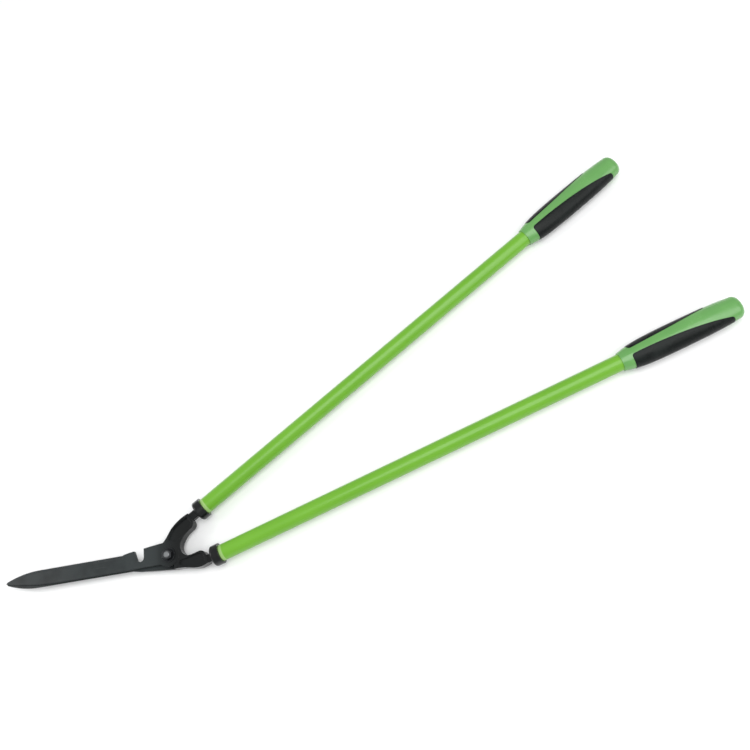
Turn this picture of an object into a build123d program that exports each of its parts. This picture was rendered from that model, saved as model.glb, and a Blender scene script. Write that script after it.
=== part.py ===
from build123d import *
import os

# Long-handled hedge shears, closed.  Millimetres and degrees.
# Origin: centre of the pivot bolt head's underside.  +Z up along the pivot,
# +X towards the grips, +Y towards the upper handle.

# Pivot
bolt_r = 4.0
bolt_head_flats = 13.0
bolt_head_height = 5.3
bolt_end_length = 0.8
bolt_chamfer = 0.8
nut_flats = 13.0
nut_height = 4.4
nut_insert_height = 1.6
nut_insert_wall = 1.3
hex_chamfer = 0.7
bush_wall = 2.0
washer_r = 9.5
washer_thickness = 1.2
spring_r = 9.0
spring_thickness = 1.1
spring_height = 1.7
shim_r = 13.0
shim_thickness = 0.25
hole_clearance = 0.2
running_clearance = 0.05
blade_gap = 0.3

# Forgings
hub_r = 15.5
hub_thickness = 6.0
lap_clearance = 0.5
arm_rim = 3.0
web_pocket_depth = 3.0
web_corner_r = 1.6
upper_root = 18.8
lower_root = 21.3
crest_rise = 6.6
crest_back = 10.0
shoulder_swell = 14.0
shoulder_turn = 60.0
knuckle_drop = 14.2
knuckle_back = 8.0
crotch_depth = 6.6
crotch_turn = 24.0
web_outer_turn = 70.0
web_inner_turn = 42.0
web_end_gap = 3.5
stop_gap = 0.3
stop_angle = -8.0
stop_r = 18.2

# Blades
blade_tilt = 23.4
blade_reach = 248.5
blade_offset = -1.2
cutting_half = 11.6
spine_half = 9.8
cutting_nose = 54.0
spine_nose = 92.0
heel_reach = 62.0
heel_thickness = 4.2
tip_thickness = 2.8
tip_r = 2.0
edge_land = 0.8
bevel_slope = 1.6
grind_excess = 1.0
front_ear = -56.5
back_ear = -44.0
ear_ramp = 10.0
ear_rise = 1.8
notch_reach = 41.3
notch_base = 2.6
notch_r = 5.4
notch_mouth = 16.0
waist_gap = 2.4
waist_ramp = 10.0

# Handles
handle_angle = 7.75
upper_socket = (70.2, 32.5)
lower_socket = (63.0, 36.1)
tube_r = 11.0
tube_wall = 1.0
tube_length = 710.0
tube_end_r = 0.7
upper_neck = 10.5
lower_neck = 6.5
neck_width = 11.4
neck_height = 9.4
neck_corner = 2.5
neck_root = 3.0
tang_width = 10.0
tang_height = 8.0
tang_length = 62.0
collar_r = 14.0
collar_length = 12.0
collar_spigot = 14.0
collar_nose_r = 3.0
bush_length = 10.0
pin_r = 2.0
pin_place = 8.0
pin_depth = 3.0
pin_bore_r = 1.1
pin_inset = 0.5
fit_gap = 0.05

# Grips
grip_start = 574.5
grip_length = 166.0
grip_wall = 7.4
grip_end_r = 9.0
pad_depth = 2.0
pad_proud = 0.4
pad_floor = 0.6
pad_fore = 14.0
pad_corner_r = 4.0
wide_pad_aft = 17.0
wide_seam_fore = 1.2
wide_seam_middle = 3.4
wide_seam_aft = 13.0
narrow_pad_aft = 42.0
narrow_seam_fore = 8.0
narrow_seam_middle = 10.8
narrow_seam_aft = 15.5

# Share of the grip's length, of its side wall and of its top wall at each section.
grip_sections = (
    (0.0, 0.20, 0.35),
    (0.06, 0.52, 0.66),
    (0.16, 0.82, 0.88),
    (0.5, 1.0, 1.0),
    (0.84, 0.80, 0.94),
    (1.0, 0.50, 0.62),
)

# Heights that follow from the pivot stack
half_gap = blade_gap / 2
hub_outside = half_gap + hub_thickness
mid = bolt_head_height + spring_height + washer_thickness + hub_outside
bush_r = bolt_r + bush_wall
bush_top = mid + hub_outside + running_clearance
nut_base = bush_top + washer_thickness
bolt_top = nut_base + nut_height + bolt_end_length
bore_r = tube_r - tube_wall
grip_end = grip_start + grip_length

os.makedirs("parts", exist_ok=True)


def save(part, name):
    """Write one piece, with its node's name."""
    part.label = name
    export_step(part, f"parts/{name}.step")


def hub_plane(side, angle=0.0):
    """The blades' meeting plane, with Z away from the other blade and X turned from +X."""
    return Plane(origin=(0, 0, mid), x_dir=Vector(1, 0).rotate(Axis.Z, angle), z_dir=(0, 0, side))


def blade_plane(side):
    """The meeting plane turned to the blade: -X to the tip, +Y to the cutting edge."""
    return hub_plane(side, -blade_tilt)


def socket(side):
    """Where a handle's tube starts, seen from the pivot."""
    return Vector(*(upper_socket if side > 0 else lower_socket))


def handle_plane(side):
    """Plan view of a handle: +X along the tube from its start, +Y outwards."""
    turned = hub_plane(side, side * handle_angle)
    return Plane(origin=hub_plane(side).from_local_coords(socket(side)), x_dir=turned.x_dir, z_dir=turned.z_dir)


def handle_section(side, place):
    """Cross-section of a handle at a distance along its tube, with X outwards."""
    plan = handle_plane(side)
    return Plane(origin=plan.from_local_coords(Vector(place, 0)), x_dir=plan.y_dir, z_dir=plan.x_dir)


def pin_plane(side):
    """Where the tang pin starts inside the tang, looking down."""
    centre = handle_plane(side).from_local_coords(Vector(pin_place, 0))
    return Plane(origin=centre + Vector(0, 0, pin_depth), x_dir=(1, 0, 0), z_dir=(0, 0, -1))


def from_pivot(side, radius, angle):
    """A point at a radius and angle about the pivot, in the handle's plan view."""
    point = Vector(radius, 0).rotate(Axis.Z, angle) - socket(side)
    return point.rotate(Axis.Z, -handle_angle)


def nose(side, cutting, spine):
    """The two curves that bring a blade to its tip, for use in a line block."""
    tip = (-blade_reach, side * blade_offset)
    TangentArc((cutting_nose - blade_reach, cutting), tip, tangent=(-1, 0))
    TangentArc((spine_nose - blade_reach, spine), tip, tangent=(-1, 0))


def front_outline():
    """Front blade in plan: nose, cutting edge, ear, heel and spine."""
    cutting = cutting_half + blade_offset
    spine = blade_offset - spine_half
    root = Vector(0, upper_root).rotate(Axis.Z, blade_tilt)
    with BuildSketch() as outline:
        with BuildLine():
            nose(1, cutting, spine)
            Polyline(
                (cutting_nose - blade_reach, cutting),
                (front_ear - ear_ramp, cutting),
                (front_ear, cutting + ear_rise),
                root,
                (0, root.Y),
                (0, spine),
                (spine_nose - blade_reach, spine),
            )
        make_face()
        fillet(outline.vertices().sort_by(Axis.X)[0], radius=tip_r)
    return outline.sketch


def back_outline():
    """Back blade in plan: nose, cutting edge, ear, heel, waist and spine."""
    cutting = cutting_half - blade_offset
    spine = -spine_half - blade_offset
    waist_level = notch_r - notch_base + waist_gap
    waist_end = -notch_reach - notch_r - waist_gap
    root = Vector(0, lower_root).rotate(Axis.Z, -blade_tilt)
    with BuildSketch() as outline:
        with BuildLine():
            nose(-1, cutting, spine)
            Polyline(
                (cutting_nose - blade_reach, cutting),
                (back_ear - ear_ramp, cutting),
                (back_ear, cutting + ear_rise),
                root,
                (root.X, waist_level),
                (waist_end, waist_level),
                (waist_end - waist_ramp, spine),
                (spine_nose - blade_reach, spine),
            )
        make_face()
        fillet(outline.vertices().sort_by(Axis.X)[0], radius=tip_r)
    return outline.sketch


def bevel(side):
    """What grinding takes off along a cutting edge, from the ear out past the tip."""
    plan = blade_plane(side).offset(half_gap)
    cutting = cutting_half + side * blade_offset
    start = ((front_ear if side > 0 else back_ear) - ear_ramp, cutting)
    depth = hub_thickness - edge_land
    with BuildPart() as ground:
        with BuildLine():
            straight = Line(start, (cutting_nose - blade_reach, cutting))
            curve = TangentArc(straight @ 1, (-blade_reach, side * blade_offset), tangent=(-1, 0))
            Line(curve @ 1, curve @ 1 + (curve % 1) * depth * bevel_slope)
        with BuildSketch(Plane(origin=start, x_dir=(0, 1, 0), z_dir=(1, 0, 0))):
            with BuildLine():
                Polyline(
                    (grind_excess, edge_land - grind_excess / bevel_slope),
                    (-(depth + grind_excess) * bevel_slope, hub_thickness + grind_excess),
                    (grind_excess, hub_thickness + grind_excess),
                    close=True,
                )
            make_face()
        sweep()
    return plan.from_local_coords(ground.part)


def blade_plate(side):
    """A blade and its heel, thinning to the tip, with a bevelled cutting edge."""
    plan = blade_plane(side)
    upright = Plane(origin=plan.origin, x_dir=plan.x_dir, z_dir=-plan.y_dir)
    with BuildPart() as plate:
        with BuildSketch(plan.offset(half_gap)):
            add(front_outline() if side > 0 else back_outline())
        extrude(amount=hub_thickness)
        add(bevel(side), mode=Mode.SUBTRACT)
        with BuildSketch(upright):
            with BuildLine():
                Polyline(
                    (-hub_r, hub_outside),
                    (-heel_reach, half_gap + heel_thickness),
                    (-blade_reach - 1, half_gap + tip_thickness),
                    (-blade_reach - 1, hub_outside + 1),
                    (-hub_r, hub_outside + 1),
                    close=True,
                )
            make_face()
        extrude(amount=blade_reach, both=True, mode=Mode.SUBTRACT)
    return plate.part


def neck_start(side):
    """Where the arm ends and the neck begins, along the handle."""
    return -collar_length - (upper_neck if side > 0 else lower_neck)


def arm_root(side):
    """Distance from the pivot to the arm's outer edge, straight out."""
    return upper_root if side > 0 else lower_root


def arm_outline(side):
    """An arm in plan: stop face, crotch, knuckle, neck, crest and root."""
    stop = side * stop_angle
    shoulder = from_pivot(side, stop_r, stop) + Vector(0, stop_gap / 2)
    inside = from_pivot(side, hub_r / 2, stop) + Vector(0, stop_gap / 2)
    around = Vector(0, 1).rotate(Axis.Z, stop - handle_angle)
    neck = neck_start(side)
    with BuildSketch() as outline:
        with BuildLine():
            crotch = Spline(
                shoulder,
                from_pivot(side, stop_r + crotch_depth, stop + crotch_turn),
                (neck - knuckle_back, -knuckle_drop),
                tangents=(around, (1, 0)),
            )
            knuckle = TangentArc(crotch @ 1, (neck, -neck_width / 2), tangent=(1, 0))
            crest = Spline(
                (neck, neck_width / 2),
                (neck - crest_back, crest_rise),
                from_pivot(side, arm_root(side) + shoulder_swell, shoulder_turn),
                from_pivot(side, arm_root(side), 90),
                tangents=((-1, 0.15), (-1, -0.25)),
            )
            Line(knuckle @ 1, crest @ 0)
            Polyline(crest @ 1, inside, shoulder)
        make_face()
    return outline.sketch


def web_outline(side):
    """The hollow in an arm's face, inside its raised rim."""
    near = hub_r + lap_clearance + arm_rim
    stop = side * stop_angle
    end = neck_start(side) - web_end_gap
    with BuildSketch() as web:
        with BuildLine():
            outer = Spline(
                from_pivot(side, near, web_outer_turn),
                from_pivot(side, arm_root(side) + shoulder_swell - arm_rim, shoulder_turn),
                (end - crest_back + web_end_gap, crest_rise - arm_rim),
                (end, neck_width / 2 - arm_rim),
            )
            inner = Spline(
                (end, arm_rim + web_end_gap - knuckle_drop),
                (end - knuckle_back + web_end_gap, arm_rim - knuckle_drop),
                from_pivot(side, stop_r + crotch_depth, stop + web_inner_turn - handle_angle),
                from_pivot(side, near, stop + web_inner_turn),
            )
            Line(outer @ 1, inner @ 0)
            ThreePointArc(inner @ 1, from_pivot(side, near, (web_outer_turn + web_inner_turn + stop) / 2), outer @ 0)
        make_face()
        fillet(web.vertices(), radius=web_corner_r)
    return web.sketch


def forging(side):
    """Blade, hub, I-section arm, neck and tang in one piece."""
    arm = arm_outline(side)
    plan = handle_plane(side)
    hub = hub_plane(side)
    with BuildPart() as piece:
        with BuildSketch(plan):
            add(arm)
        extrude(amount=hub_outside, both=True)
        for face in (1, -1):
            with BuildSketch(plan.offset(face * (hub_outside - web_pocket_depth))):
                add(web_outline(side))
            extrude(amount=face * (web_pocket_depth + 1), mode=Mode.SUBTRACT)
        with BuildSketch(hub.offset(half_gap)):
            Circle(hub_r + lap_clearance)
        extrude(amount=-hub_outside - hub_thickness, mode=Mode.SUBTRACT)
        with BuildSketch(hub.offset(half_gap)):
            Circle(hub_r)
        extrude(amount=hub_thickness)
        add(blade_plate(side))
        with BuildSketch(handle_section(side, -collar_length)):
            RectangleRounded(neck_width, neck_height, neck_corner)
        extrude(amount=neck_start(side) + collar_length - neck_root)
        with BuildSketch(handle_section(side, -collar_length)):
            Rectangle(tang_width, tang_height)
        extrude(amount=collar_length + tang_length)
        with BuildSketch(pin_plane(side)):
            Circle(pin_r)
        extrude(amount=tube_r, mode=Mode.SUBTRACT)
        with BuildSketch(hub):
            Circle(bush_r + (running_clearance if side > 0 else 0))
        extrude(amount=2 * hub_outside, both=True, mode=Mode.SUBTRACT)
        if side > 0:
            with BuildSketch(blade_plane(side)):
                with Locations((-notch_reach, notch_base)):
                    Circle(notch_r)
                with Locations((-notch_reach - notch_r / 2, notch_base + notch_mouth)):
                    Rectangle(notch_mouth, 1)
                make_hull()
            extrude(amount=2 * hub_outside, mode=Mode.SUBTRACT)
    return piece.part


def hex_piece(base, flats, height, bore=0.0):
    """A hexagon with its outer corners turned off, and a bore if it has one."""
    corner_r = flats / 3**0.5
    with BuildPart() as piece:
        with BuildSketch(base):
            RegularPolygon(flats / 2, 6, major_radius=False)
        extrude(amount=height)
        with BuildSketch(Plane(origin=base.origin, x_dir=base.x_dir, z_dir=-base.y_dir)):
            with BuildLine():
                Polyline(
                    (0, 0),
                    (corner_r + hex_chamfer, 0),
                    (corner_r + hex_chamfer, height - hex_chamfer),
                    (flats / 2 - hex_chamfer, height),
                    (0, height),
                    close=True,
                )
            make_face()
        revolve(axis=Axis(base.origin, base.z_dir), mode=Mode.INTERSECT)
        if bore:
            with BuildSketch(base):
                Circle(bore)
            extrude(amount=height, mode=Mode.SUBTRACT)
    return piece.part


def ring(bottom, outer, inner, height):
    """A flat ring on the pivot axis, standing on a level."""
    with BuildPart() as piece:
        with BuildSketch(Plane.XY.offset(bottom)):
            Circle(outer)
            Circle(inner, mode=Mode.SUBTRACT)
        extrude(amount=height)
    return piece.part


def pivot_bolt():
    """Hex bolt from below, with its chamfered end above the nut."""
    with BuildPart() as bolt:
        add(hex_piece(Plane(origin=(0, 0, bolt_head_height), z_dir=(0, 0, -1)), bolt_head_flats, bolt_head_height))
        with BuildSketch(Plane.XY):
            Circle(bolt_r)
        extrude(amount=bolt_top)
        chamfer(bolt.edges().group_by(Axis.Z)[-1], length=bolt_chamfer)
    return bolt.part


def spring_washer():
    """Disc spring: a shallow cone, wide side up against the head washer."""
    inner = bolt_r + hole_clearance
    with BuildPart() as spring:
        with BuildSketch(Plane.XZ):
            with BuildLine():
                Polyline(
                    (inner, bolt_head_height),
                    (inner, bolt_head_height + spring_thickness),
                    (spring_r, bolt_head_height + spring_height),
                    (spring_r, bolt_head_height + spring_height - spring_thickness),
                    close=True,
                )
            make_face()
        revolve(axis=Axis.Z)
    return spring.part


def lock_nut():
    """Hex nut with a recess at its top for the locking ring."""
    with BuildPart() as nut:
        add(hex_piece(Plane.XY.offset(nut_base), nut_flats, nut_height, bolt_r))
        with BuildSketch(Plane.XY.offset(nut_base + nut_height - nut_insert_height)):
            Circle(bolt_r + nut_insert_wall)
        extrude(amount=nut_insert_height, mode=Mode.SUBTRACT)
    return nut.part


def tube(side):
    """Handle tube with a rounded front end."""
    with BuildPart() as piece:
        with BuildSketch(handle_section(side, 0)):
            Circle(tube_r)
            Circle(bore_r, mode=Mode.SUBTRACT)
        extrude(amount=tube_length)
        outside = piece.edges().filter_by(GeomType.CIRCLE).sort_by(SortBy.RADIUS)[-2:]
        fillet(outside, radius=tube_end_r)
        with BuildSketch(pin_plane(side)):
            Circle(pin_r)
        extrude(amount=pin_depth + tube_r, mode=Mode.SUBTRACT)
    return piece.part


def collar(side):
    """Ferrule: a rounded flange in front of the tube and a spigot inside it."""
    with BuildPart() as piece:
        with BuildSketch(handle_section(side, -collar_length)):
            Circle(collar_r)
        extrude(amount=collar_length)
        plan = handle_plane(side)
        rim = piece.edges().sort_by(lambda edge: plan.to_local_coords(edge.center()).X)
        fillet(rim[0], radius=collar_nose_r)
        with BuildSketch(handle_section(side, 0)):
            Circle(bore_r - fit_gap)
        extrude(amount=collar_spigot)
        with BuildSketch(handle_section(side, -collar_length)):
            Rectangle(tang_width + 2 * fit_gap, tang_height + 2 * fit_gap)
        extrude(amount=collar_length + collar_spigot, mode=Mode.SUBTRACT)
        with BuildSketch(pin_plane(side)):
            Circle(pin_r)
        extrude(amount=pin_depth + tube_r, mode=Mode.SUBTRACT)
    return piece.part


def tang_bush(side):
    """Bush that centres the end of the tang in the tube."""
    with BuildPart() as piece:
        with BuildSketch(handle_section(side, tang_length - bush_length)):
            Circle(bore_r - fit_gap)
            Rectangle(tang_width + 2 * fit_gap, tang_height + 2 * fit_gap, mode=Mode.SUBTRACT)
        extrude(amount=bush_length)
    return piece.part


def tang_pin(side):
    """Spring pin from the tube's underside, flush with the tube."""
    with BuildPart() as piece:
        with BuildSketch(pin_plane(side)):
            Circle(pin_r)
            Circle(pin_bore_r, mode=Mode.SUBTRACT)
        extrude(amount=pin_depth + tube_r - pin_inset)
    return piece.part


def grip_body(side, extra):
    """The grip's outer form, an oval that swells and narrows, larger by an extra."""
    with BuildPart() as body:
        for share, side_wall, top_wall in grip_sections:
            with BuildSketch(handle_section(side, grip_start + share * grip_length)):
                Ellipse(
                    tube_r + side_wall * grip_wall + extra,
                    tube_r + top_wall * (mid - tube_r) + extra,
                )
        loft()
    return body.part


def grip_pad(side, facing):
    """Soft panel on one side of a grip, facing out (+1) or towards the other handle (-1).

    Both grips are the same moulding, so the wide panel is on the -Y side of each.
    """
    wide = side * facing < 0
    fore = grip_start + pad_fore
    aft = grip_end - (wide_pad_aft if wide else narrow_pad_aft)
    seam_fore = wide_seam_fore if wide else narrow_seam_fore
    seam_middle = wide_seam_middle if wide else narrow_seam_middle
    seam_aft = wide_seam_aft if wide else narrow_seam_aft
    beyond = facing * (tube_r + 2 * grip_wall)
    with BuildPart() as pad:
        add(grip_body(side, pad_proud))
        add(grip_body(side, -pad_depth), mode=Mode.SUBTRACT)
        with BuildSketch(handle_section(side, grip_start)):
            Circle(tube_r + pad_floor)
        extrude(amount=grip_length, mode=Mode.SUBTRACT)
        with BuildSketch(handle_plane(side)) as panel:
            with BuildLine():
                seam = Spline(
                    (fore, facing * seam_fore),
                    ((fore + aft) / 2, facing * seam_middle),
                    (aft, facing * seam_aft),
                )
                Polyline(seam @ 1, (aft, beyond), (fore, beyond), seam @ 0)
            make_face()
            for end, level in ((fore, seam_fore), (aft, seam_aft)):
                corner = panel.vertices().sort_by_distance((end, facing * level, 0))[0]
                fillet(corner, radius=pad_corner_r)
        extrude(amount=2 * mid, both=True, mode=Mode.INTERSECT)
    return pad.part


def grip_core(side, pads):
    """Hard core: the stripes above and below, the fore rim and the butt cap."""
    plan = handle_plane(side)
    with BuildPart() as core:
        add(grip_body(side, 0))
        butt = core.edges().sort_by(lambda edge: plan.to_local_coords(edge.center()).X)[-1]
        fillet(butt, radius=grip_end_r)
        for pad in pads:
            add(pad, mode=Mode.SUBTRACT)
        with BuildSketch(handle_section(side, 0)):
            Circle(tube_r)
        extrude(amount=tube_length, mode=Mode.SUBTRACT)
    return core.part


def head():
    """The two forgings and everything on the pivot."""
    save(forging(1), "front_blade")
    save(forging(-1), "back_blade")
    save(pivot_bolt(), "pivot_bolt")
    save(spring_washer(), "spring_washer")
    clearance_r = bolt_r + hole_clearance
    save(ring(bolt_head_height + spring_height, washer_r, clearance_r, washer_thickness), "head_washer")
    save(ring(mid - hub_outside, bush_r, bolt_r, bush_top - mid + hub_outside), "pivot_bush")
    save(ring(mid - shim_thickness / 2, shim_r, bush_r + fit_gap, shim_thickness), "bearing_shim")
    save(ring(bush_top, washer_r, clearance_r, washer_thickness), "nut_washer")
    save(lock_nut(), "lock_nut")
    insert_base = nut_base + nut_height - nut_insert_height
    save(ring(insert_base, bolt_r + nut_insert_wall, bolt_r, nut_insert_height), "nut_insert")


def handle(side, name):
    """Everything on one tang."""
    pads = {"outer": grip_pad(side, 1), "inner": grip_pad(side, -1)}
    save(collar(side), f"{name}_collar")
    save(tube(side), f"{name}_tube")
    save(tang_bush(side), f"{name}_tang_bush")
    save(tang_pin(side), f"{name}_tang_pin")
    save(grip_core(side, pads.values()), f"{name}_grip_core")
    for facing, pad in pads.items():
        save(pad, f"{name}_grip_pad_{facing}")


head()
handle(1, "upper")
handle(-1, "lower")
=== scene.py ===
import math
import bpy
import numpy as np
from mathutils import Matrix, Vector


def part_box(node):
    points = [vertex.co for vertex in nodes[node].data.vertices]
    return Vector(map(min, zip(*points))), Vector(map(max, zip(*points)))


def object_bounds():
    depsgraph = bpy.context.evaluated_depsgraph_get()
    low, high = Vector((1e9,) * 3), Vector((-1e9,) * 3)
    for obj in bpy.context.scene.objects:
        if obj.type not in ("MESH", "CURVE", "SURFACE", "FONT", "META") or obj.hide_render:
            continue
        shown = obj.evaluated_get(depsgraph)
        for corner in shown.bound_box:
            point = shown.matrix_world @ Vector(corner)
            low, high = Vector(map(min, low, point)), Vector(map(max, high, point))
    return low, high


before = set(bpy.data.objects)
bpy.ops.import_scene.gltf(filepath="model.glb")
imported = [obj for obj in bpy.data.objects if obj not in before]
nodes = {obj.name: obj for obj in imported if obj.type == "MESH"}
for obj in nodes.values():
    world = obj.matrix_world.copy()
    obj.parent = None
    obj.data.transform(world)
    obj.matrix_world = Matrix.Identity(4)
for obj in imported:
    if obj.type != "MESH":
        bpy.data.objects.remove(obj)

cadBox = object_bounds()
print("frame:", len(nodes), "nodes")


# Camera, floor and lights

cameraView = {
    "place": (0.3585, -0.3912, 1.0104),
    "forward": (0.0017, 0.4117, -0.9113),
    "up": (0.5443, 0.7641, 0.3462),
    "lens": 38.4,
    "sensor": 36.0,
    "clip": (0.05, 50.0),
}

studio = {
    "floorSize": 7.0,
    "floorPoints": 9,  # along each side
    "floorDrop": 0.0002,  # gap between the lowest grip and the floor
    "floorColour": (0.93, 0.93, 0.925),
    "floorShade": 0.985,
    "floorClouds": (1.5, 2.0, 0.5),
    "aim": (0.35, 0.0, 0.0),  # where every lamp points
    "skyColour": (0.97, 0.985, 1.0),
    "skyStrength": 0.64,
    "lamps": {  # name: place, size in metres, power in watts
        "overhead": ((0.65, -0.35, 1.9), 1.7, 22.0),
        "window": ((-1.3, 0.9, 1.1), 0.9, 13.0),
        "fill": ((1.6, -1.2, 1.3), 1.4, 11.0),
    },
}


def aimed(forward, up):  # rotation whose -Z looks along forward, with Y nearest to up
    back = -Vector(forward).normalized()
    right = Vector(up).cross(back).normalized()
    return Matrix((right, back.cross(right), back)).transposed().to_4x4()


def addCamera(values):
    data = bpy.data.cameras.new("camera")
    data.lens, data.sensor_width = values["lens"], values["sensor"]
    data.clip_start, data.clip_end = values["clip"]
    camera = bpy.data.objects.new("camera", data)
    camera.matrix_world = Matrix.Translation(values["place"]) @ aimed(values["forward"], values["up"])
    bpy.context.scene.collection.objects.link(camera)
    bpy.context.scene.camera = camera


def addLamps(values, target):
    for name, (place, size, power) in values.items():
        data = bpy.data.lights.new(name, "AREA")
        data.shape, data.size, data.energy = "DISK", size, power
        lamp = bpy.data.objects.new(name, data)
        towards = Vector(target) - Vector(place)
        lamp.matrix_world = Matrix.Translation(place) @ aimed(towards, (0.0, 1.0, 0.01))
        bpy.context.scene.collection.objects.link(lamp)


def addSky(values):
    bpy.context.scene.view_settings.view_transform = "Standard"
    world = bpy.data.worlds.new("sky")
    bpy.context.scene.world = world
    world.use_nodes = True
    background = world.node_tree.nodes["Background"]
    background.inputs["Color"].default_value = (*values["skyColour"], 1.0)
    background.inputs["Strength"].default_value = values["skyStrength"]


# Shader writing: a wire is a socket that can be used in sums

class Wire:
    def __init__(self, paint, socket):
        self.paint, self.socket = paint, socket

    def maths(self, operation, *others):
        return self.paint.node("Math", {"operation": operation}, dict(enumerate((self, *others))))

    def after(self, operation, first):  # the same with this wire second
        return self.paint.node("Math", {"operation": operation}, {0: first, 1: self})

    def __add__(self, other): return self.maths("ADD", other)
    def __radd__(self, other): return self.maths("ADD", other)
    def __sub__(self, other): return self.maths("SUBTRACT", other)
    def __rsub__(self, other): return self.after("SUBTRACT", other)
    def __mul__(self, other): return self.maths("MULTIPLY", other)
    def __rmul__(self, other): return self.maths("MULTIPLY", other)
    def __truediv__(self, other): return self.maths("DIVIDE", other)
    def __rtruediv__(self, other): return self.after("DIVIDE", other)
    def __neg__(self): return self.after("SUBTRACT", 0.0)


class Paint:
    def __init__(self, name, **constants):  # constants are sockets of the shader itself
        self.material = bpy.data.materials.new(name)
        self.material.use_nodes = True
        self.tree = self.material.node_tree
        self.shader = self.tree.nodes["Principled BSDF"]
        for socket, value in constants.items():
            self.shader.inputs[socket.replace("_", " ")].default_value = value
        coordinates = self.tree.nodes.new("ShaderNodeTexCoord")
        self.place = Wire(self, coordinates.outputs["Object"])
        self.facing = Wire(self, coordinates.outputs["Normal"])

    def node(self, kind, settings, sockets, out=0):
        made = self.tree.nodes.new("ShaderNode" + kind)
        for key, value in settings.items():
            setattr(made, key, value)
        for key, value in sockets.items():
            self.feed(made.inputs[key], value)
        return Wire(self, made.outputs[out])

    def feed(self, socket, value):
        if isinstance(value, Wire):
            self.tree.links.new(value.socket, socket)
        elif isinstance(value, tuple) and socket.type == "RGBA":
            socket.default_value = (*value, 1.0)
        else:
            socket.default_value = value

    def set(self, socket, value):
        self.feed(self.shader.inputs[socket], value)

    def axes(self, vector):
        split = self.node("SeparateXYZ", {}, {0: vector}).socket.node
        return [Wire(self, output) for output in split.outputs]

    def turned(self, centre, angle):  # place measured from centre, with X along the angle in plan
        sockets = {"Vector": self.place, "Location": centre, "Rotation": (0.0, 0.0, angle)}
        return self.node("Mapping", {"vector_type": "TEXTURE"}, sockets)

    def noise(self, vector, scale, detail, roughness):  # scale in cycles per metre, or one for each axis
        if isinstance(scale, tuple):
            vector = self.node("VectorMath", {"operation": "MULTIPLY"}, {0: vector, 1: scale})
            scale = 1.0
        sockets = {"Vector": vector, "Scale": scale, "Detail": detail, "Roughness": roughness}
        return self.node("TexNoise", {"noise_dimensions": "3D"}, sockets)

    def step(self, value, low, high):  # 0 below low, 1 above high, smooth between
        sockets = {"Value": value, "From Min": low, "From Max": high}
        return self.node("MapRange", {"interpolation_type": "SMOOTHSTEP"}, sockets)

    def blend(self, factor, first, second):  # a Mix node takes colours at 6 and 7 and gives one at 2
        return self.node("Mix", {"data_type": "RGBA"}, {0: factor, 6: first, 7: second}, 2)

    def rounded(self, radius):  # the normal as if the corners had that radius
        return self.node("Bevel", {"samples": 6}, {"Radius": radius})

    def edges(self, radius):  # 1 where a face meets another within the radius, 0 on the flat
        flat = self.node("NewGeometry", {}, {}, "Normal")
        normals = {0: self.rounded(radius), 1: flat}
        same = self.node("VectorMath", {"operation": "DOT_PRODUCT"}, normals, "Value")
        return self.step(1.0 - same, 0.004, 0.12)

    def rings(self, across, along):  # turning marks: noise of the distance from the pivot axis
        x, y, z = self.axes(self.place)
        radius = (x * x + y * y).maths("SQRT")
        return self.noise(self.node("CombineXYZ", {}, {0: radius * across, 1: z * along}), 1.0, 2.0, 0.5)

    def bump(self, height, distance, strength, rounding=0.0):
        sockets = {"Height": height, "Distance": distance, "Strength": strength}
        if rounding:
            sockets["Normal"] = self.rounded(rounding)
        self.set("Normal", self.node("Bump", {}, sockets))


def handleLine(tube):
    # The tube's axis from its box: where it starts, and its slope in plan.  The box's height is the
    # diameter.  tan(slope) = (depth - diameter x cos(slope)) / (length - diameter x sin(slope)), repeated
    # until it settles.
    low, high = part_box(tube)
    length, depth, diameter = high - low
    radius = diameter / 2
    slope = 0.0
    for repeat in range(30):
        slope = math.atan2(depth - diameter * math.cos(slope), length - diameter * math.sin(slope))
    side = 1.0 if low.y + high.y > 0.0 else -1.0  # the upper handle lies on the +Y side
    startY = (low.y if side > 0.0 else high.y) + side * radius * math.cos(slope)
    return (low.x + radius * math.sin(slope), startY, (low.z + high.z) / 2), side * slope


# Finishes.  A noise is given by its cycles per metre, detail and roughness.  Levels are where a noise
# starts to show and where it shows in full.

# Steel pieces

bladeFinish = {
    "tilt": 23.4,  # degrees between the blades and the middle of the handles
    "armFade": (-0.030, 0.016),  # from blade to forged arm, in metres from the pivot
    "tipFade": (0.05, 0.25),  # from heel to tip, in metres from the pivot
    "bevelIn": (0.74, 0.80),  # how far up or down the normal of a ground face points: 1 is flat
    "bevelOut": (0.90, 0.96),
    "steel": (0.0235, 0.0295, 0.0300),
    "forged": (0.0042, 0.0052, 0.0050),
    "browned": (0.024, 0.021, 0.020),
    "smudged": (0.006, 0.007, 0.0075),
    "groundDull": (0.030, 0.033, 0.034),
    "groundBright": (0.11, 0.115, 0.118),
    "worn": (0.14, 0.145, 0.15),
    "groundWear": 0.30,
    "edgeWear": 0.35,
    "scratchWear": 0.10,
    "roughness": 0.42,
    "forgedGloss": 0.18,
    "forgedCoat": 0.20,
    "rubWidth": 0.0007,
    "grainHeight": 0.00012,
    "cornerRadius": 0.0009,
    "clouds": (38.0, 4.0, 0.6),
    "speckle": (1400.0, 2.0, 0.5),
    "grain": ((60.0, 900.0, 200.0), 3.0, 0.7),
    "lines": ((2600.0, 60.0, 60.0), 2.0, 0.6),
    "rubPatches": (110.0, 4.0, 0.7),
    "scratches": ((18.0, 620.0, 300.0), 2.0, 0.4),
    "smudgeLevels": (0.40, 0.75),
    "rubLevels": (0.42, 0.66),
    "scratchLevels": (0.69, 0.74),
}


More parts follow.
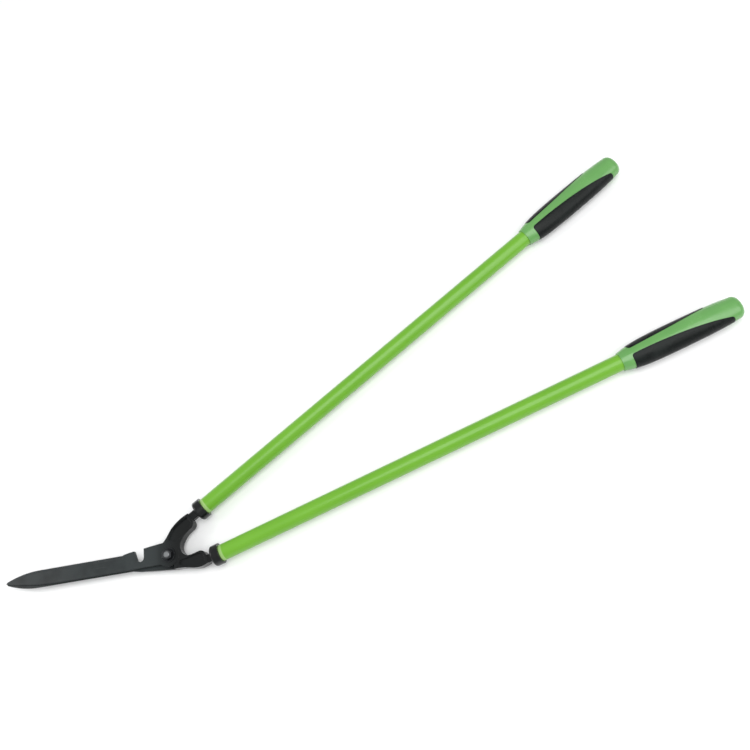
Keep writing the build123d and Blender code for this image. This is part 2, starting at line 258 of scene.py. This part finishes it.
def bladePaint(name):
    # Satin black coating where blade = 1, near-black and glossier on the forged arm where it is 0.
    # Ground = 1 where a face leans like the bevel: fine lines run across its edge.
    # Wear = rounding of the corners x cloud noise, plus thin scratches along the blade.
    v = bladeFinish
    p = Paint(name, Coat_Roughness=0.18, Specular_IOR_Level=0.20)
    along = p.turned((0.0, 0.0, 0.0), math.radians(-v["tilt"]))
    x = p.axes(along)[0]
    lift = p.axes(p.facing)[2].maths("ABSOLUTE")
    blade = 1.0 - p.step(x, *v["armFade"])
    tipward = p.step(-x, *v["tipFade"])
    clouds = p.noise(p.place, *v["clouds"])
    grain = p.noise(along, *v["grain"])
    speckle = p.noise(p.place, *v["speckle"])
    ground = p.step(lift, *v["bevelIn"]) * (1.0 - p.step(lift, *v["bevelOut"])) * blade
    lines = p.noise(along, *v["lines"])
    coat = p.blend(blade, v["forged"], v["steel"])
    coat = p.blend(tipward * 0.5 * clouds, coat, v["browned"])
    coat = p.blend(p.step(clouds, *v["smudgeLevels"]) * 0.45, coat, v["smudged"])
    bare = p.blend(lines, v["groundDull"], v["groundBright"])
    coat = p.blend(ground * v["groundWear"] * (0.5 + lines), coat, bare)
    rub = p.edges(v["rubWidth"]) * p.step(p.noise(p.place, *v["rubPatches"]), *v["rubLevels"])
    scratch = p.step(p.noise(along, *v["scratches"]), *v["scratchLevels"]) * blade
    p.set("Base Color", p.blend(rub * v["edgeWear"] + scratch * v["scratchWear"], coat, v["worn"]))
    matt = v["roughness"] - v["forgedGloss"] * (1.0 - blade)
    p.set("Roughness", matt + 0.14 * (clouds - 0.5) + 0.10 * (speckle - 0.5) - 0.08 * ground)
    p.set("Metallic", 0.05 + 0.25 * ground + 0.30 * rub)
    p.set("Coat Weight", v["forgedCoat"] * (1.0 - blade))
    height = 0.5 * speckle + 0.35 * grain * blade + 0.8 * lines * ground + 0.7 * clouds * (1.0 - blade)
    p.bump(height, v["grainHeight"], 0.6, v["cornerRadius"])
    return p.material


steelFinish = {
    "bright": (0.30, 0.31, 0.315),
    "blackened": (0.030, 0.032, 0.034),
    "spring": (0.10, 0.10, 0.105),
    "bronze": (0.42, 0.27, 0.11),
    "rubbed": (0.62, 0.62, 0.61),
    "stain": 0.55,  # share of the colour left in a stain
    "pinDull": (0.12, 0.12, 0.125),
    "pinBright": (0.34, 0.34, 0.35),
    "rubWidth": 0.00035,
    "grainHeight": 0.00006,
    "pinGrainHeight": 0.00005,
    "cornerRadius": 0.0004,
    "pinCornerRadius": 0.0003,
    "rings": (5200.0, 1500.0),  # cycles per metre outwards and upwards
    "clouds": (160.0, 4.0, 0.6),
    "fine": (2600.0, 2.0, 0.6),
    "rubLevels": (0.35, 0.60),
    "pinStreaks": ((2200.0, 2200.0, 60.0), 3.0, 0.6),
    "pinClouds": (300.0, 3.0, 0.6),
}

turnedPieces = {  # node: name of the finish, colour, roughness, depth of rings, brightness of corners
    "pivot_bolt": ("boltSteel", "bright", 0.32, 0.5, 0.4),
    "lock_nut": ("nutBlack", "blackened", 0.34, 0.5, 0.25),
    "head_washer": ("head_washerBlack", "blackened", 0.36, 0.8, 0.2),
    "nut_washer": ("nut_washerBlack", "blackened", 0.36, 0.8, 0.2),
    "spring_washer": ("springSteel", "spring", 0.40, 0.5, 0.4),
    "pivot_bush": ("sinteredBronze", "bronze", 0.46, 0.8, 0.4),
}


def turnedSteel(name, colour, roughness, lathe, rubShare):
    # Plated steel turned on the pivot axis: rings, cloud stains, bright worn corners
    v = steelFinish
    p = Paint(name, Metallic=1.0)
    rings = p.rings(*v["rings"])
    clouds = p.noise(p.place, *v["clouds"])
    fine = p.noise(p.place, *v["fine"])
    tint = p.blend(clouds, tuple(c * v["stain"] for c in v[colour]), v[colour])
    rub = p.edges(v["rubWidth"]) * p.step(clouds, *v["rubLevels"])
    p.set("Base Color", p.blend(rub * rubShare, tint, v["rubbed"]))
    p.set("Roughness", roughness + 0.16 * (clouds - 0.5) + 0.12 * lathe * rings + 0.06 * fine)
    p.bump(rings * lathe + 0.4 * fine, v["grainHeight"], 0.5, v["cornerRadius"])
    return p.material


def pinSteel(name):
    # Rolled spring pin: streaks = noise stretched down the pin, dulled by clouds of oil
    v = steelFinish
    p = Paint(name, Metallic=1.0)
    streaks = p.noise(p.place, *v["pinStreaks"])
    clouds = p.noise(p.place, *v["pinClouds"])
    p.set("Base Color", p.blend(streaks * clouds, v["pinDull"], v["pinBright"]))
    p.set("Roughness", 0.30 + 0.25 * clouds)
    p.bump(streaks, v["pinGrainHeight"], 0.5, v["pinCornerRadius"])
    return p.material


# Painted and plastic pieces

tubeFinish = {
    "green": (0.150, 0.400, 0.021),
    "greenDeep": (0.116, 0.335, 0.013),
    "scuffed": (0.30, 0.46, 0.16),
    "scuffShare": 0.06,
    "band": (0.30, 0.50, 0.15),
    "bandLength": 0.0045,
    "roughness": 0.32,
    "coat": 0.20,
    "peelHeight": 0.00007,
    "clouds": (14.0, 3.0, 0.5),
    "peel": (620.0, 2.0, 0.5),
    "pits": (2400.0, 2.0, 0.5),
    "scuffs": ((30.0, 420.0, 420.0), 3.0, 0.6),
    "pitLevels": (0.60, 0.72),
    "scuffLevels": (0.66, 0.72),
}


def tubePaint(name, tube):
    # Gloss powder coat.  Distance along the tube sets a pale band over its first few millimetres;
    # orange peel = two noises; scuffs = noise stretched along the tube, above a level.
    v = tubeFinish
    p = Paint(name, Coat_Roughness=0.16, Specular_IOR_Level=0.40)
    along = p.turned(*handleLine(tube))
    x = p.axes(along)[0]
    clouds = p.noise(p.place, *v["clouds"])
    peel = p.noise(p.place, *v["peel"])
    pits = p.noise(p.place, *v["pits"])
    band = 1.0 - p.step(x, v["bandLength"] * 0.85, v["bandLength"] * 1.15)
    scuff = p.step(p.noise(along, *v["scuffs"]), *v["scuffLevels"])
    colour = p.blend(clouds, v["greenDeep"], v["green"])
    colour = p.blend(0.5 * p.step(pits, *v["pitLevels"]), colour, v["greenDeep"])
    colour = p.blend(band, colour, v["band"])
    p.set("Base Color", p.blend(scuff * v["scuffShare"], colour, v["scuffed"]))
    p.set("Roughness", v["roughness"] + 0.14 * (clouds - 0.5) + 0.20 * scuff + 0.10 * band)
    p.set("Coat Weight", v["coat"] - 0.12 * scuff)
    p.bump(peel + 0.35 * pits, v["peelHeight"], 0.7)
    return p.material


gripFinish = {
    "green": (0.140, 0.360, 0.095),
    "greenDeep": (0.085, 0.265, 0.060),
    "rubbed": (0.33, 0.56, 0.25),
    "seam": (0.07, 0.20, 0.04),
    "seamHalf": (0.00010, 0.00028),  # half width of the parting line, dark to gone
    "roughness": 0.25,
    "coat": 0.30,
    "rubWidth": 0.0008,
    "grainHeight": 0.00009,
    "cornerRadius": 0.0008,
    "clouds": (30.0, 3.0, 0.5),
    "flow": ((20.0, 260.0, 260.0), 3.0, 0.5),
    "grain": (1900.0, 3.0, 0.6),
}


def gripPaint(name, tube):
    # Moulded polypropylene: colour drifts a little along the grip, fine spark-eroded grain,
    # a hairline parting line where the height equals the tube's axis, paler rubbed corners.
    v = gripFinish
    p = Paint(name, Specular_IOR_Level=0.5, Coat_Roughness=0.14)
    along = p.turned(*handleLine(tube))
    z = p.axes(along)[2]
    clouds = p.noise(p.place, *v["clouds"])
    flow = p.noise(along, *v["flow"])
    grain = p.noise(p.place, *v["grain"])
    seam = 1.0 - p.step(z.maths("ABSOLUTE"), *v["seamHalf"])
    rub = p.edges(v["rubWidth"])
    colour = p.blend(0.6 * clouds + 0.4 * flow, v["greenDeep"], v["green"])
    colour = p.blend(rub * 0.4, colour, v["rubbed"])
    p.set("Base Color", p.blend(seam * 0.35, colour, v["seam"]))
    p.set("Roughness", v["roughness"] + 0.16 * (clouds - 0.5) + 0.12 * (grain - 0.5) - 0.06 * rub)
    p.set("Coat Weight", v["coat"] - 0.15 * clouds)
    p.bump(0.6 * grain + 0.5 * flow - 1.6 * seam, v["grainHeight"], 0.7, v["cornerRadius"])
    return p.material


padFinish = {
    "rubber": (0.0055, 0.0078, 0.0070),
    "dust": (0.026, 0.034, 0.031),
    "dotPitch": 0.0019,
    "rowShare": 0.866,  # rows stand this much of the pitch apart, so that the dots nest
    "dotFade": (0.0085, 0.0105),  # height above or below the axis where the dots end
    "dotRound": (0.22, 0.40),  # from a dot's flat top to its foot, as a share of a cell
    "roughness": 0.27,
    "rubWidth": 0.0007,
    "dotHeight": 0.00022,
    "cornerRadius": 0.0007,
    "clouds": (60.0, 4.0, 0.6),
    "grain": (2300.0, 3.0, 0.6),
    "dustLevels": (0.45, 0.75),
}


def padPaint(name, tube):
    # Soft rubber.  Its texture is a round dot in every cell of a grid of distance along the grip against
    # height up its side, with every other row moved half a cell.  Dust collects between the dots.
    v = padFinish
    p = Paint(name, Specular_IOR_Level=0.15)
    x, _, z = p.axes(p.turned(*handleLine(tube)))
    column = x / v["dotPitch"]
    row = z / (v["dotPitch"] * v["rowShare"])
    shift = 0.5 * row.maths("FLOOR").maths("MODULO", 2.0).maths("ABSOLUTE")
    dx = (column + shift).maths("FRACT") - 0.5
    dz = row.maths("FRACT") - 0.5
    dot = 1.0 - p.step((dx * dx + dz * dz).maths("SQRT"), *v["dotRound"])
    zone = 1.0 - p.step(z.maths("ABSOLUTE"), *v["dotFade"])
    clouds = p.noise(p.place, *v["clouds"])
    grain = p.noise(p.place, *v["grain"])
    dust = p.step(clouds, *v["dustLevels"]) * (1.0 - 0.7 * dot * zone)
    colour = p.blend(clouds, tuple(0.6 * c for c in v["rubber"]), v["rubber"])
    colour = p.blend(dust * 0.22, colour, v["dust"])
    p.set("Base Color", p.blend(p.edges(v["rubWidth"]) * 0.35, colour, v["dust"]))
    p.set("Roughness", v["roughness"] + 0.16 * dust + 0.14 * (grain - 0.5) - 0.05 * dot * zone)
    p.bump(dot * zone + 0.18 * grain, v["dotHeight"], 0.8, v["cornerRadius"])
    return p.material


plasticFinish = {
    "collar": ((0.0035, 0.0044, 0.0042), 0.24, 1500.0),  # colour, roughness, grain in cycles per metre
    "bush": ((0.02, 0.02, 0.02), 0.5, 2000.0),
    "insert": ((0.03, 0.032, 0.034), 0.45, 2600.0),
    "coat": 0.22,
    "rubWidth": 0.0006,
    "grainHeight": 0.00007,
    "cornerRadius": 0.0006,
    "clouds": (90.0, 4.0, 0.6),
    "rubLevels": (0.35, 0.65),
}

nylonFinish = {
    "dull": (0.34, 0.34, 0.31),
    "milky": (0.58, 0.57, 0.52),
    "ringHeight": 0.00005,
    "rings": (4000.0, 900.0),
    "clouds": (240.0, 3.0, 0.6),
}


def mouldedBlack(name, colour, roughness, grainScale):
    # Black moulded plastic: spark-eroded grain, faint flow clouds, greyed corners where it rubs
    v = plasticFinish
    p = Paint(name, Specular_IOR_Level=0.30, Coat_Roughness=0.12)
    clouds = p.noise(p.place, *v["clouds"])
    grain = p.noise(p.place, grainScale, 3.0, 0.6)
    rub = p.edges(v["rubWidth"]) * p.step(clouds, *v["rubLevels"])
    tint = p.blend(clouds, tuple(0.6 * c for c in colour), colour)
    p.set("Base Color", p.blend(rub * 0.35, tint, tuple(2.6 * c + 0.03 for c in colour)))
    p.set("Roughness", roughness + 0.16 * (clouds - 0.5) + 0.10 * (grain - 0.5))
    p.set("Coat Weight", v["coat"] - 0.12 * clouds)
    p.bump(grain + 0.4 * clouds, v["grainHeight"], 0.6, v["cornerRadius"])
    return p.material


def naturalNylon(name):
    # Milky nylon ring: warm and cool clouds, turning marks
    v = nylonFinish
    p = Paint(name, Subsurface_Weight=0.15, Subsurface_Scale=0.001)
    rings = p.rings(*v["rings"])
    clouds = p.noise(p.place, *v["clouds"])
    p.set("Base Color", p.blend(clouds, v["dull"], v["milky"]))
    p.set("Roughness", 0.42 + 0.2 * (rings - 0.5))
    p.bump(rings, v["ringHeight"], 0.5)
    return p.material


def floorPaint(name, v):
    # Pale matt paper with the faintest cloud
    p = Paint(name, Roughness=0.75, Specular_IOR_Level=0.25)
    shade = tuple(v["floorShade"] * c for c in v["floorColour"])
    p.set("Base Color", p.blend(p.noise(p.place, *v["floorClouds"]), shade, v["floorColour"]))
    return p.material


def cover(piece, material):
    piece.data.materials.clear()
    piece.data.materials.append(material)


def addFloor(values):
    # A flat square just under the shears: x = s, y = t, height constant
    half, count = values["floorSize"] / 2, values["floorPoints"]
    line = np.linspace(-half, half, count)
    s, t = np.meshgrid(line, line)
    points = np.stack([s, t, np.full_like(s, cadBox[0].z - values["floorDrop"])], axis=-1).reshape(-1, 3)
    corner = (np.arange(count - 1)[:, None] * count + np.arange(count - 1)).ravel()
    faces = np.stack([corner, corner + 1, corner + count + 1, corner + count], axis=1)
    mesh = bpy.data.meshes.new("floor")
    mesh.from_pydata(points.tolist(), [], faces.tolist())
    floor = bpy.data.objects.new("floor", mesh)
    bpy.context.scene.collection.objects.link(floor)
    cover(floor, floorPaint("floorPaper", values))


addCamera(cameraView)
addSky(studio)
addLamps(studio["lamps"], studio["aim"])
addFloor(studio)
print("studio: camera, floor and", len(studio["lamps"]), "lamps")

cover(nodes["front_blade"], bladePaint("frontBladeCoating"))
cover(nodes["back_blade"], bladePaint("backBladeCoating"))
for piece, values in turnedPieces.items():
    cover(nodes[piece], turnedSteel(*values))
cover(nodes["bearing_shim"], naturalNylon("shimNylon"))
cover(nodes["nut_insert"], mouldedBlack("insertNylon", *plasticFinish["insert"]))
for side in ("upper", "lower"):
    tube = side + "_tube"
    cover(nodes[side + "_collar"], mouldedBlack(side + "CollarPlastic", *plasticFinish["collar"]))
    cover(nodes[tube], tubePaint(side + "TubeCoat", tube))
    cover(nodes[side + "_tang_bush"], mouldedBlack(side + "BushPlastic", *plasticFinish["bush"]))
    cover(nodes[side + "_tang_pin"], pinSteel(side + "PinSteel"))
    cover(nodes[side + "_grip_core"], gripPaint(side + "GripPlastic", tube))
    pad = padPaint(side + "PadRubber", tube)
    for face in ("outer", "inner"):
        cover(nodes[side + "_grip_pad_" + face], pad)
print("finishes: on", len(nodes), "nodes")
